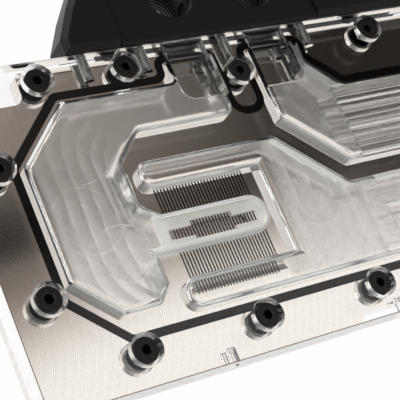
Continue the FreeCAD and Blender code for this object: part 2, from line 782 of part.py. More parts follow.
def clear_top():
    body = new_body("acrylic_top")
    outline = sketch_at(body, "outline", sheet_low)
    corners = box_corners(ZERO, length, ZERO, width)
    add_loop(outline, corners)
    raise_up(body, "sheet", outline, size("top_thickness"))
    round_corners(body, "sheet_corners", corners, sheet_low, face, size("outer_corner"))
    left = sketch_at(body, "left_pocket_sketch", sheet_low)
    add_loop(left, left_pocket)
    sink(body, "left_pocket", left, pocket_depth, upwards=True)
    round_corners(body, "slot_end_round", left_pocket[5:7], sheet_low, roof, size("slot_round"))
    bay = [left_pocket[11]]
    round_corners(body, "left_bay_round", bay, sheet_low, roof, size("bay_corner"))
    rest = left_pocket[0:4] + left_pocket[8:11] + left_pocket[14:17]
    round_corners(body, "left_pocket_rounds", rest, sheet_low, roof, pocket_corner)
    soften_ceiling(body, "left_ceiling_round", left_pocket, roof, size("ceiling_round"))
    right = sketch_at(body, "right_pocket_sketch", sheet_low)
    add_loop(right, right_pocket)
    sink(body, "right_pocket", right, pocket_depth, upwards=True)
    ends = [right_pocket[0], right_pocket[15], right_pocket[16], right_pocket[19]]
    round_corners(body, "branch_rounds", ends, sheet_low, roof, size("branch_round"))
    rest = right_pocket[1:7] + right_pocket[9:15]
    round_corners(body, "right_pocket_rounds", rest, sheet_low, roof, pocket_corner)
    soften_ceiling(body, "right_ceiling_round", right_pocket, roof, size("ceiling_round"))
    shelf = sketch_at(body, "shelf_sketch", shelf_low)
    add_loop(shelf, box_corners(shelf_left, shelf_right, front_wall, step_wall))
    raise_up(body, "shelf", shelf, roof - shelf_low)
    shelf_grooves(body, "front_grooves", front_wall, rib_front)
    shelf_grooves(body, "back_grooves", rib_back, step_wall)
    scoops = sketch_at(body, "scoops_sketch", sheet_low)
    scoop_corners = []
    for x in (port_x, port_2_x):
        corners = box_corners(x - half_scoop, x + half_scoop, scoop_front, scoop_back)
        add_loop(scoops, corners)
        scoop_corners += corners[0:2]
    scoop_depth = size("top_thickness") - size("scoop_roof")
    sink(body, "scoops", scoops, scoop_depth, upwards=True)
    round_corners(body, "scoop_rounds", scoop_corners, roof, sheet_low + scoop_depth, size("scoop_corner"))
    channels = upright_sketch(body, "channels_sketch", width)
    for x in (port_x, port_2_x):
        add_long_hole(channels, x, channel_z, size("channel_width"), size("channel_height"))
    sink(body, "channels", channels, width - scoop_back, upwards=True)
    drill(body, "screw_holes", screw_places, thread + size("screw_clearance"), face, size("top_thickness"))
    drill(body, "screw_seats", screw_places, size("seat_width"), face, seat_depth)
    taps = upright_sketch(body, "bolt_taps_sketch", width)
    for x, y in bolt_places:
        add_circle(taps, x, y, bolt_thread + size("thread_play") * 2)
    sink(body, "bolt_taps", taps, bolt_reach + size("bolt_tap_extra"), upwards=True)
    for step in range(3):
        light = upright_sketch(body, "light_hole_%d_sketch" % (step + 1), ZERO)
        x = size("light_first") + size("light_pitch") * step
        add_circle(light, x, face - size("light_drop"), size("light_bore"))
        sink(body, "light_hole_%d" % (step + 1), light, size("light_depth") + size("light_deeper") * step)
    return body


clear_top()


def jet_plate():
    """Thin plate in the middle slot, on the fins: its stepped slit sets where the flow enters."""
    body = new_body("jet_plate")
    thickness = size("jet_thickness")
    play = size("jet_play")
    jet_y = size("jet_middle")
    outline = sketch_at(body, "outline", plate_top)
    corners = box_corners(size("jet_left"), slot_end - play, slot_front + play, slot_back - play)
    add_loop(outline, corners)
    raise_up(body, "plate", outline, thickness)
    top = plate_top + thickness
    round_corners(body, "round_end", corners[1:3], plate_top, top, size("slot_round") - play)
    slit = size("jet_slit_length") / 2
    half_slit = size("jet_slit_width") / 2
    wide = size("jet_wide_length") / 2
    half_wide = size("jet_wide_width") / 2
    opening = [
        (core_x - slit, jet_y - half_slit),
        (core_x - wide, jet_y - half_slit),
        (core_x - wide, jet_y - half_wide),
        (core_x + wide, jet_y - half_wide),
        (core_x + wide, jet_y - half_slit),
        (core_x + slit, jet_y - half_slit),
        (core_x + slit, jet_y + half_slit),
        (core_x + wide, jet_y + half_slit),
        (core_x + wide, jet_y + half_wide),
        (core_x - wide, jet_y + half_wide),
        (core_x - wide, jet_y + half_slit),
        (core_x - slit, jet_y + half_slit),
    ]
    sketch = sketch_at(body, "opening_sketch", top)
    add_loop(sketch, opening)
    sink(body, "opening", sketch, thickness)
    return body


jet_plate()


# Screws

def head_rim(body, middle, along, reach):
    """The outer rim at the top of a screw's head, found by its place along the screw's axis."""
    def on_rim(point, box):
        spans = {"z": (box.ZMin, box.ZMax), "y": (box.YMin, box.YMax)}[along]
        return max(abs(spans[0] - middle), abs(spans[1] - middle)) < 1e-4 and box.XLength > reach
    return level_edges(body, on_rim)


def cap_screw(label, x, y):
    body = new_body(label)
    seat = face - seat_depth
    head_top = seat + size("head_height")
    head = sketch_at(body, "head_sketch", seat)
    add_circle(head, x, y, size("head_width"))
    raise_up(body, "head", head, size("head_height"))
    bevel(body, "head_bevel", head_rim(body, head_top.value, "z", thread.value), size("head_edge"))
    shank = sketch_at(body, "shank_sketch", seat)
    add_circle(shank, x, y, thread)
    raise_up(body, "shank", shank, size("screw_length"), down=True)
    socket = sketch_at(body, "socket_sketch", head_top)
    add_loop(socket, hexagon(x, y, size("hex_width")))
    sink(body, "socket", socket, size("hex_depth"))
    return body


for index, (x, y) in enumerate(screw_places, start=1):
    cap_screw("top_screw_%02d" % index, x, y)


def terminal_bolt(label, x, z):
    body = new_body(label)
    seat = width + size("bolt_seat")
    head_end = seat + size("bolt_head_height")
    head = upright_sketch(body, "head_sketch", seat)
    add_circle(head, x, z, size("bolt_head"))
    raise_up(body, "head", head, size("bolt_head_height"), down=True)
    bevel(body, "head_bevel", head_rim(body, head_end.value, "y", bolt_thread.value), size("head_edge"))
    shank = upright_sketch(body, "shank_sketch", seat)
    add_circle(shank, x, z, bolt_thread)
    raise_up(body, "shank", shank, size("bolt_length"))
    socket = upright_sketch(body, "socket_sketch", head_end)
    add_loop(socket, hexagon(x, z, size("bolt_hex")))
    sink(body, "socket", socket, size("bolt_hex_depth"), upwards=True)
    return body


for index, (x, z) in enumerate(bolt_places, start=1):
    terminal_bolt("terminal_screw_%d" % index, x, z)


# Terminal with its ports, covers and seals

terminal_left = size("terminal_left")
terminal_right = size("terminal_right")
terminal_back = width + size("terminal_depth")
straight_end = width + size("end_straight")
slope_end = straight_end + size("end_slope_y")
left_slope = terminal_left + size("end_slope_x")
right_slope = terminal_right - size("end_slope_x")
left_back_x = left_slope + size("end_back_x")
right_back_x = right_slope - size("end_back_x")
middle_left = size("middle_left")
middle_right = size("middle_right")
seam = size("cover_seam")
cover_low = face - size("cover_drop")
cover_top = face + size("cover_rise")
middle_top = face + size("terminal_rise")
port_y = width + size("port_set_back")
port_places = [(port_x, port_y), (port_2_x, port_y)]
left_end = [
    (left_back_x, terminal_back),
    (left_slope, slope_end),
    (terminal_left, straight_end),
    (terminal_left, width),
]
right_end = [
    (terminal_right, width),
    (terminal_right, straight_end),
    (right_slope, slope_end),
    (right_back_x, terminal_back),
]


def top_rim(body, height, left, right):
    """Upper edges of a cover or of the middle part, apart from the ones at its joints."""
    def on_rim(point, box):
        level = abs(box.ZMin - height) < 1e-4 and abs(box.ZMax - height) < 1e-4
        at_joint = box.XLength < 1e-4 and (abs(point.x - left) < 1e-4 or abs(point.x - right) < 1e-4)
        return level and not at_joint
    return level_edges(body, on_rim)


def terminal_body():
    body = new_body("terminal_body")
    wing_low = size("wing_low")
    outline = sketch_at(body, "outline", wing_low)
    add_loop(outline, right_end + left_end)
    raise_up(body, "base", outline, cover_low - wing_low)
    foot = sketch_at(body, "foot_sketch", ZERO)
    inset = size("foot_inset")
    add_loop(foot, box_corners(terminal_left + inset, terminal_right - inset, width, terminal_back))
    raise_up(body, "foot", foot, wing_low)
    middle = sketch_at(body, "middle_sketch", cover_low)
    add_loop(middle, box_corners(middle_left, middle_right, width, terminal_back))
    raise_up(body, "middle", middle, middle_top - cover_low)
    rim = top_rim(body, middle_top.value, middle_left.value, middle_right.value)
    bevel(body, "middle_bevel", rim, size("middle_bevel"))
    drill(body, "ports", port_places, size("port_bore"), middle_top, middle_top)
    reach = size("port_bore").value / 2

    def on_mouth(point, box):
        level = abs(box.ZMin - box.ZMax) < 1e-4
        ends = box.ZMin < 1e-4 or abs(box.ZMin - middle_top.value) < 1e-4
        return level and ends and abs(box.XLength - 2 * reach) < 1e-3
    bevel(body, "port_mouths", level_edges(body, on_mouth), size("port_bevel"))
    channels = upright_sketch(body, "channels_sketch", width)
    seals = upright_sketch(body, "seal_grooves_sketch", width)
    wide, high = seal_span(size("seal_gap") + size("seal_width"))
    inner_wide, inner_high = seal_span(size("seal_gap"))
    for x in (port_x, port_2_x):
        add_long_hole(channels, x, channel_z, size("channel_width"), size("channel_height"))
        add_long_hole(seals, x, channel_z, wide, high)
        add_long_hole(seals, x, channel_z, inner_wide, inner_high)
    sink(body, "channels", channels, size("port_set_back"))
    sink(body, "seal_grooves", seals, size("seal_depth"))
    holes = upright_sketch(body, "bolt_holes_sketch", width)
    for x, z in bolt_places:
        add_circle(holes, x, z, bolt_thread + size("bolt_clearance"))
    sink(body, "bolt_holes", holes, size("bolt_seat"))
    seat = width + size("bolt_seat")
    bores = upright_sketch(body, "bolt_bores_sketch", terminal_back)
    for x, z in bolt_places[1:]:
        add_circle(bores, x, z, size("bolt_bore"))
    sink(body, "bolt_bores", bores, terminal_back - seat, upwards=True)
    first_x, first_z = bolt_places[0]
    half_bore = size("bolt_bore") / 2
    room = sketch_at(body, "bolt_room_sketch", cover_low)
    far = seat + size("bolt_head_height") + size("bolt_room")
    add_loop(room, box_corners(first_x - half_bore, first_x + half_bore, seat, far))
    sink(body, "bolt_room", room, cover_low - first_z + half_bore)
    return body


def seal_span(reach):
    return size("channel_width") + reach * 2, size("channel_height") + reach * 2


terminal_body()


def end_cover(label, corners, joint_x):
    body = new_body(label)
    outline = sketch_at(body, "outline", cover_low)
    add_loop(outline, corners)
    raise_up(body, "cover", outline, cover_top - cover_low)
    rim = top_rim(body, cover_top.value, joint_x.value, joint_x.value)
    bevel(body, "rim_bevel", rim, size("cover_bevel"))
    return body


left_joint = middle_left - seam
right_joint = middle_right + seam
end_cover("left_cover", [(left_joint, width), (left_joint, terminal_back)] + left_end, left_joint)
end_cover("right_cover", right_end + [(right_joint, terminal_back), (right_joint, width)], right_joint)


def channel_seal(label, x):
    body = new_body(label)
    sketch = upright_sketch(body, "ring_sketch", width)
    wide, high = seal_span(size("seal_gap") + size("seal_width"))
    inner_wide, inner_high = seal_span(size("seal_gap"))
    add_long_hole(sketch, x, channel_z, wide, high)
    add_long_hole(sketch, x, channel_z, inner_wide, inner_high)
    raise_up(body, "ring", sketch, size("seal_depth"), down=True)
    return body


channel_seal("channel_seal_1", port_x)
channel_seal("channel_seal_2", port_2_x)


# Everything is checked before anything is written

doc.recompute()
for thing in doc.Objects:
    if "Invalid" in thing.State or "Error" in thing.State:
        raise RuntimeError("%s is %s" % (thing.Name, thing.State))
for body in bodies:
    shape = body.Shape
    if shape.isNull() or not shape.isValid() or not shape.Solids:
        raise RuntimeError(body.Label + " has no valid solid")
os.makedirs("parts", exist_ok=True)
for body in bodies:
    body.Shape.exportStep(os.path.join("parts", body.Label + ".step"))
    print(body.Label, "%.1f mm3" % body.Shape.Volume)
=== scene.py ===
import json
import math

import bmesh
import bpy
import numpy as np
from mathutils import Matrix, Vector


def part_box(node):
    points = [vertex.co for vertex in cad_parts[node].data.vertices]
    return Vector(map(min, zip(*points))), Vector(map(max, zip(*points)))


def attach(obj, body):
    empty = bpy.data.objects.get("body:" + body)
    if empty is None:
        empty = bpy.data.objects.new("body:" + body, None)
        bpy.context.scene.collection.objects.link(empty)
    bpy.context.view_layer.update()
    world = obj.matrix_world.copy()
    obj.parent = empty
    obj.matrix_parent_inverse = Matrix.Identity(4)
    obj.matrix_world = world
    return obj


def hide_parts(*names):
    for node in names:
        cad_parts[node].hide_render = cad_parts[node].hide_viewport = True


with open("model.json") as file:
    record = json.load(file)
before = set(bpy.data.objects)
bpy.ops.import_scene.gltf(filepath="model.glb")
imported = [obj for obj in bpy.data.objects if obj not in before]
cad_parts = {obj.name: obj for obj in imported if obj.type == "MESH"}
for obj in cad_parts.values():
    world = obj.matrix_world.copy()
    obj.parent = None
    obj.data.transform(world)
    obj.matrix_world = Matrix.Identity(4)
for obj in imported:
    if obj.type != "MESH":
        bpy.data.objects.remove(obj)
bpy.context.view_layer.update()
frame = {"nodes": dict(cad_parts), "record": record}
nodes = frame["nodes"]
mm = 0.001
sheetLow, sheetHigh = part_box("acrylic_top")
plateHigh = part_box("cold_plate")[1]
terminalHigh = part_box("terminal_body")[1]
print("frame loaded:", len(nodes), "nodes")


# Shader nodes

def addNode(tree, kind, inputs=None, **settings):
    made = tree.nodes.new("ShaderNode" + kind)
    for key, value in settings.items():
        setattr(made, key, value)
    for key, value in (inputs or {}).items():
        if isinstance(value, bpy.types.NodeSocket):
            tree.links.new(value, made.inputs[key])
        else:
            made.inputs[key].default_value = value
    return made


def calc(tree, operation, *values, clamp=False):
    made = addNode(tree, "Math", dict(enumerate(values)), operation=operation, use_clamp=clamp)
    return made.outputs[0]


def ramp(tree, value, low, high, start=0.0, end=1.0, smooth=True):
    # start below low, end above high, and a soft step between them
    kind = "SMOOTHSTEP" if smooth else "LINEAR"
    inputs = {"Value": value, "From Min": low, "From Max": high, "To Min": start, "To Max": end}
    return addNode(tree, "MapRange", inputs, interpolation_type=kind).outputs["Result"]


def blend(tree, share, first, second):
    # first where share is 0, second where it is 1
    return addNode(tree, "Mix", {0: share, 2: first, 3: second}, data_type="FLOAT").outputs[0]


def blendColour(tree, share, first, second):
    return addNode(tree, "Mix", {0: share, 6: first, 7: second}, data_type="RGBA").outputs[2]


def noise(tree, place, scale, detail):
    return addNode(tree, "TexNoise", {"Vector": place, "Scale": scale, "Detail": detail}).outputs[0]


def relief(tree, height):
    return addNode(tree, "Bump", {"Height": height, "Distance": 1.0, "Strength": 1.0}).outputs[0]


def dot(tree, vector, axis):
    made = addNode(tree, "VectorMath", {0: vector, 1: axis}, operation="DOT_PRODUCT")
    return made.outputs["Value"]


def newMaterial(name):
    material = bpy.data.materials.new(name)
    material.use_nodes = True
    tree = material.node_tree
    tree.nodes.clear()
    out = addNode(tree, "OutputMaterial")
    return material, tree, out


def objectPlace(tree):
    place = addNode(tree, "TexCoord").outputs["Object"]
    parts = addNode(tree, "SeparateXYZ", {0: place})
    return place, parts.outputs["X"], parts.outputs["Y"], parts.outputs["Z"]


def insideBox(tree, x, y, box, soft):
    # 1 inside a rectangle of the sheet, in mm from its left front corner, with a soft rim
    left, front, right, rear = (value * mm for value in box)
    alongX = calc(tree, "MULTIPLY", ramp(tree, x, sheetLow.x + left, sheetLow.x + left + soft * mm),
                  ramp(tree, x, sheetLow.x + right, sheetLow.x + right + soft * mm, 1.0, 0.0))
    alongY = calc(tree, "MULTIPLY", ramp(tree, y, sheetLow.y + front - soft * mm, sheetLow.y + front),
                  ramp(tree, y, sheetLow.y + rear, sheetLow.y + rear + soft * mm, 1.0, 0.0))
    return calc(tree, "MULTIPLY", alongX, alongY)


def dress(nodeName, material):
    mesh = nodes[nodeName].data
    mesh.materials.clear()
    mesh.materials.append(material)


# Clear acrylic: polished faces, and cutter marks in the pockets. Bare lengths are in mm, from the sheet's
# left front corner or its underside

acrylic = {
    "ior": 1.49,
    "tint": (0.985, 0.985, 0.975, 1),
    "shadowTint": (0.93, 0.93, 0.92, 1),   # the lamps' light passes straight through, with this tint
    # which face is which
    "levelShare": 0.97,           # a face with more than this share of its normal upright is level
    "skin": 0.3 * mm,             # a level face this far inside the sheet was milled
    "endSkin": 0.02 * mm,
    "topSkin": 0.05 * mm,
    "frontward": (-0.7, -0.3),    # the normal's Y, for a wall that faces the front edge
    "seatLow": 5.2,               # walls above this belong to the screws' seats
    "roof": 5.3,                  # ceilings above this are polished
    "wayBack": 6.2,               # the channels this near to the rear edge are drilled and clear
    "tapReach": 7.8,              # so are the tapped holes for the terminal's screws
    "tapPolish": 0.9,             # and lack this share of a wall's roughness
    # roughness
    "floorRough": 0.21,
    "slotRough": 0.07,            # the narrow slots over the fins are nearly clear
    "wallRough": 0.12,
    "seatRough": 0.26,
    "edgeRough": 0.3,
    "bandRough": 0.25,
    "shelfRough": 0.8,            # the shelf's share of the roughness
    # milk is the share of light that a face scatters
    "milk": 0.06,
    "stripMilk": 0.27,            # more along the cutter's strips
    "frontMilk": 0.17,            # more toward the front edge, over this span
    "frontSpan": (34.0, 52.0),
    "rearMilk": 0.32,             # walls that face the front edge
    "bandMilk": 0.42,             # the middle slot's walls
    "shelfMilk": 0.38,            # the ridges on the shelf
    "edgeMilk": 0.8,              # the sheet's left, right and front edges
    # left, front, right and rear of the slots over the fins, and of the band that holds the middle slot
    "slotBox": (49.0, 14.0, 86.5, 61.0),
    "slotSoft": 3.0,
    "slotBand": (43.0, 32.6, 84.5, 45.0),
    "bandSoft": 0.5,
    # fine swirls and waves on the milled ceilings
    "swirlSize": 7 * mm,
    "swirlPitch": 0.8 * mm,
    "swirlDepth": 0.005 * mm,
    "waveScale": 160.0,
    "waveDepth": 0.03 * mm,
    # each set of cutter passes runs round a small rectangle: its middle, half its size, the pitch and depth
    # of the passes, and the sheet's X where the set fades in and out
    "strips": (
        {"middle": (50.5, 49.0), "reach": (2.5, 13.0), "pitch": 4.1, "depth": 0.08,
         "span": (19.0, 22.0, 38.0, 45.0)},
        {"middle": (67.0, 39.0), "reach": (17.0, 12.0), "pitch": 5.6, "depth": 0.05,
         "span": (88.0, 93.0, 116.0, 121.0)},
    ),
    "stripWander": 2.8 * mm,
    "wanderScale": 70.0,
    "flankLightPower": 1.6,           # the haze of a strip grows as this power of the way across it, a painted light that brightens one flank of each scallop
    "patchScale": 110.0,
    "patchSpan": (0.38, 0.62),
    "patchShare": 0.7,
    "stripFront": (56.0, 66.0),   # the strips fade toward the rear, to this share
    "rearShare": 0.25,
    # ridges along the shelf
    "shelfStart": 121.5,
    "shelfPitch": 8.7 * mm,
    "shelfPhase": 0.33,
    "shelfDepth": 0.1 * mm,
    "ridgeWidth": 0.1,            # share of the pitch
    # thin circles where the cutter dwelt: middle and radius
    "rings": ((33.0, 62.0, 5.2), (29.0, 47.0, 9.5), (36.0, 36.0, 8.0), (98.0, 40.0, 9.0)),
    "ringWidth": 0.35,
    "ringDepth": 0.03 * mm,
    # the outer edge of the top face is a fine dull line, its brown a painted shade where the clear edge
    # looks dark
    "rim": 0.3 * mm,
    "rimShare": 0.8,
    "rimColour": (0.2, 0.13, 0.09, 1),
}


def milledMask(tree, x, y, z):
    # masks of level faces between the sheet's two skins, of walls, of the sheet's left, right and front
    # edges, and of low walls that face the front edge
    normal = addNode(tree, "SeparateXYZ", {0: addNode(tree, "NewGeometry").outputs["True Normal"]})
    upright = calc(tree, "ABSOLUTE", normal.outputs["Z"])
    level = calc(tree, "GREATER_THAN", upright, acrylic["levelShare"])
    above = calc(tree, "GREATER_THAN", z, sheetLow.z + acrylic["skin"])
    below = calc(tree, "LESS_THAN", z, sheetHigh.z - acrylic["skin"])
    floor = calc(tree, "MULTIPLY", level, calc(tree, "MULTIPLY", above, below))
    atLeft = calc(tree, "LESS_THAN", x, sheetLow.x + acrylic["endSkin"])
    atRight = calc(tree, "GREATER_THAN", x, sheetHigh.x - acrylic["endSkin"])
    atFront = calc(tree, "LESS_THAN", y, sheetLow.y + acrylic["endSkin"])
    ends = calc(tree, "ADD", atLeft, atRight)
    edge = calc(tree, "ADD", ends, atFront, clamp=True)
    wall = calc(tree, "SUBTRACT", calc(tree, "SUBTRACT", 1.0, level), edge, clamp=True)
    low = calc(tree, "LESS_THAN", z, sheetLow.z + acrylic["seatLow"] * mm)
    frontward = ramp(tree, normal.outputs["Y"], *acrylic["frontward"], 1.0, 0.0)
    frontWall = calc(tree, "MULTIPLY", calc(tree, "MULTIPLY", frontward, wall), low)
    return floor, wall, edge, frontWall


def stripMarks(tree, x, y):
    # distance to a small rectangle, folded into scallops of one pitch; their haze grows from ridge to
    # ridge, real frost with a painted light on one flank of each scallop
    height, hazeAndFlankLight = 0.0, 0.0
    place = addNode(tree, "TexCoord").outputs["Object"]
    wander = noise(tree, place, acrylic["wanderScale"], 1.0)
    patchy = ramp(tree, noise(tree, place, acrylic["patchScale"], 1.0), *acrylic["patchSpan"])
    patchy = calc(tree, "MULTIPLY_ADD", patchy, acrylic["patchShare"], 1 - acrylic["patchShare"])
    fresh, worn = (sheetLow.y + value * mm for value in acrylic["stripFront"])
    fade = ramp(tree, y, fresh, worn, acrylic["stripMilk"], acrylic["rearShare"] * acrylic["stripMilk"])
    for strips in acrylic["strips"]:
        apart = []
        for value, corner, middle, reach in zip((x, y), sheetLow, strips["middle"], strips["reach"]):
            off = calc(tree, "ABSOLUTE", calc(tree, "SUBTRACT", value, corner + middle * mm))
            apart.append(calc(tree, "MAXIMUM", calc(tree, "SUBTRACT", off, reach * mm), 0.0))
        squares = calc(tree, "ADD", calc(tree, "POWER", apart[0], 2.0), calc(tree, "POWER", apart[1], 2.0))
        away = calc(tree, "MULTIPLY_ADD", wander, acrylic["stripWander"], calc(tree, "SQRT", squares))
        turn = calc(tree, "MULTIPLY", away, 1 / (strips["pitch"] * mm))
        scallop = calc(tree, "ABSOLUTE", calc(tree, "SINE", calc(tree, "MULTIPLY", turn, math.pi)))
        first, full, late, last = (sheetLow.x + value * mm for value in strips["span"])
        inside = calc(tree, "MULTIPLY", ramp(tree, x, first, full), ramp(tree, x, late, last, 1.0, 0.0))
        depth = calc(tree, "MULTIPLY", inside, strips["depth"] * mm)
        height = calc(tree, "MULTIPLY_ADD", scallop, depth, height)
        flankLight = calc(tree, "POWER", calc(tree, "FRACT", turn), acrylic["flankLightPower"])
        flankLight = calc(tree, "MULTIPLY", flankLight, patchy)
        hazeAndFlankLight = calc(tree, "MULTIPLY_ADD", flankLight, calc(tree, "MULTIPLY", inside, fade), hazeAndFlankLight)
    near, far = (sheetLow.y + value * mm for value in acrylic["frontSpan"])
    front = ramp(tree, y, near, far, 1.0, 0.0)
    frontHaze = calc(tree, "MULTIPLY_ADD", front, acrylic["frontMilk"], acrylic["milk"])
    hazeAndFlankLight = calc(tree, "ADD", hazeAndFlankLight, frontHaze)
    # narrow ridges along the shelf, which is clearer between them
    across = calc(tree, "MULTIPLY_ADD", y, 1 / acrylic["shelfPitch"], acrylic["shelfPhase"])
    ridge = ramp(tree, calc(tree, "PINGPONG", across, 0.5), 0.0, acrylic["ridgeWidth"], 1.0, 0.0)
    onShelf = calc(tree, "GREATER_THAN", x, sheetLow.x + acrylic["shelfStart"] * mm)
    shelfHeight = calc(tree, "MULTIPLY", ridge, acrylic["shelfDepth"])
    height = calc(tree, "MULTIPLY_ADD", shelfHeight, onShelf, height)
    shelfHaze = calc(tree, "MULTIPLY", front, acrylic["frontMilk"])
    shelfHaze = calc(tree, "MULTIPLY_ADD", ridge, acrylic["shelfMilk"], shelfHaze)
    return height, blend(tree, onShelf, hazeAndFlankLight, shelfHaze), onShelf


def ringMarks(tree, x, y):
    # distance to a circle, in a soft ridge
    total = 0.0
    for middleX, middleY, radius in acrylic["rings"]:
        offX = calc(tree, "SUBTRACT", x, sheetLow.x + middleX * mm)
        offY = calc(tree, "SUBTRACT", y, sheetLow.y + middleY * mm)
        squares = calc(tree, "ADD", calc(tree, "POWER", offX, 2.0), calc(tree, "POWER", offY, 2.0))
        off = calc(tree, "ABSOLUTE", calc(tree, "SUBTRACT", calc(tree, "SQRT", squares), radius * mm))
        ridge = ramp(tree, off, 0.0, acrylic["ringWidth"] * mm, acrylic["ringDepth"], 0.0)
        total = calc(tree, "ADD", total, ridge)
    return total


def makeAcrylic():
    material, tree, out = newMaterial("clearAcrylic")
    place, x, y, z = objectPlace(tree)
    floor, wall, edge, frontWall = milledMask(tree, x, y, z)
    slot = insideBox(tree, x, y, acrylic["slotBox"], acrylic["slotSoft"])
    clearRoof = calc(tree, "GREATER_THAN", z, sheetLow.z + acrylic["roof"] * mm)
    hazy = calc(tree, "MULTIPLY", calc(tree, "SUBTRACT", 1.0, slot), calc(tree, "SUBTRACT", 1.0, clearRoof))
    hazy = calc(tree, "MULTIPLY", hazy, calc(tree, "LESS_THAN", y, sheetHigh.y - acrylic["wayBack"] * mm))
    milled = calc(tree, "MULTIPLY", floor, hazy)
    band = insideBox(tree, x, y, acrylic["slotBand"], acrylic["bandSoft"])
    band = calc(tree, "MULTIPLY", band, wall)

    # roughness
    rough = calc(tree, "MULTIPLY", floor, acrylic["slotRough"])
    rough = calc(tree, "MULTIPLY_ADD", milled, acrylic["floorRough"] - acrylic["slotRough"], rough)
    seat = calc(tree, "GREATER_THAN", z, sheetLow.z + acrylic["seatLow"] * mm)
    wallRough = calc(tree, "MULTIPLY_ADD", seat, acrylic["seatRough"] - acrylic["wallRough"],
                     acrylic["wallRough"])
    # the drilled ways and tapped holes near the rear edge are clear, so the screws show
    nearRear = calc(tree, "GREATER_THAN", y, sheetHigh.y - acrylic["tapReach"] * mm)
    atRear = calc(tree, "MULTIPLY", nearRear, calc(tree, "SUBTRACT", 1.0, seat))
    polish = calc(tree, "MULTIPLY_ADD", atRear, -acrylic["tapPolish"], 1.0)
    rough = calc(tree, "MULTIPLY_ADD", wall, calc(tree, "MULTIPLY", wallRough, polish), rough)
    rough = calc(tree, "MULTIPLY_ADD", band, acrylic["bandRough"], rough)
    rough = calc(tree, "MULTIPLY_ADD", edge, acrylic["edgeRough"], rough)

    # marks: circles of one pitch round scattered points, waves, strips and rings
    swirls = addNode(tree, "TexVoronoi", {"Vector": place, "Scale": 1 / acrylic["swirlSize"]})
    circles = calc(tree, "SINE", calc(tree, "MULTIPLY", swirls.outputs["Distance"],
                                      2 * math.pi * acrylic["swirlSize"] / acrylic["swirlPitch"]))
    waves = calc(tree, "MULTIPLY", noise(tree, place, acrylic["waveScale"], 2.0), acrylic["waveDepth"])
    marks = calc(tree, "MULTIPLY_ADD", circles, acrylic["swirlDepth"], waves)
    stripHeight, hazeAndFlankLight, onShelf = stripMarks(tree, x, y)
    shelfRough = calc(tree, "MULTIPLY_ADD", onShelf, acrylic["shelfRough"] - 1, 1.0)
    rough = calc(tree, "MULTIPLY", rough, shelfRough)
    strips = calc(tree, "ADD", stripHeight, ringMarks(tree, x, y))
    height = calc(tree, "MULTIPLY", calc(tree, "ADD", marks, strips), milled)

    # milk, and the dull rim with its painted dark line
    onTop = calc(tree, "GREATER_THAN", z, sheetHigh.z - acrylic["topSkin"])
    atRim = calc(tree, "ADD", calc(tree, "LESS_THAN", x, sheetLow.x + acrylic["rim"]),
                 calc(tree, "LESS_THAN", y, sheetLow.y + acrylic["rim"]), clamp=True)
    rim = calc(tree, "MULTIPLY", atRim, calc(tree, "SUBTRACT", 1.0, edge))
    rim = calc(tree, "MULTIPLY", onTop, rim)
    cloudy = calc(tree, "MULTIPLY_ADD", milled, hazeAndFlankLight, calc(tree, "MULTIPLY", edge, acrylic["edgeMilk"]))
    cloudy = calc(tree, "MULTIPLY_ADD", band, acrylic["bandMilk"], cloudy)
    rearWall = calc(tree, "MULTIPLY", frontWall, calc(tree, "SUBTRACT", 1.0, atRear))
    cloudy = calc(tree, "MULTIPLY_ADD", rearWall, acrylic["rearMilk"], cloudy)
    cloudy = calc(tree, "MULTIPLY_ADD", rim, acrylic["rimShare"], cloudy)
    clear = calc(tree, "SUBTRACT", 1.0, cloudy, clamp=True)
    body = addNode(tree, "BsdfPrincipled", {
        "Base Color": blendColour(tree, rim, acrylic["tint"], acrylic["rimColour"]),
        "IOR": acrylic["ior"], "Roughness": rough, "Transmission Weight": clear,
        "Normal": relief(tree, height)})
    through = addNode(tree, "BsdfTransparent", {"Color": acrylic["shadowTint"]})
    toLamp = addNode(tree, "LightPath").outputs["Is Shadow Ray"]
    mix = addNode(tree, "MixShader", {0: toLamp, 1: body.outputs[0], 2: through.outputs[0]})
    tree.links.new(mix.outputs[0], out.inputs[0])
    return material


# Nickel plate

nickel = {
    "colour": (0.88, 0.842, 0.815),
    "rough": 0.05,
    "patchRough": 0.05,
    "patchScale": 45.0,
    # the face mill leaves faint arcs of one pitch in two passes, which meet at passEdge
    "linePitch": 0.6 * mm,
    "lineDepth": 0.0026 * mm,
    "lineShade": 0.15,            # the lines vary the colour by this share
    "shadeLevel": 0.7,            # the height in a line, from 0 to 1, that leaves the colour as it is
    "fineShare": 0.3,
    "broadShare": 0.07,
    "broadPitch": 4.3,            # times the fine pitch
    "unevenScale": 60.0,
    "uneven": 1.2 * mm,
    "cutterReach": 46 * mm,
    "passes": (28.0, 76.0),
    "passEdge": 63.0,
    "passSoft": 2 * mm,
    # painted shade in the narrow gaps between the fins, below the plate's top
    "gapShadeColour": (0.03, 0.024, 0.02, 1),
    "gapShadeDepth": 0.2 * mm,
    "finBox": (51.0, 20.0, 83.0, 55.5),
    "finSoft": 0.5,
}


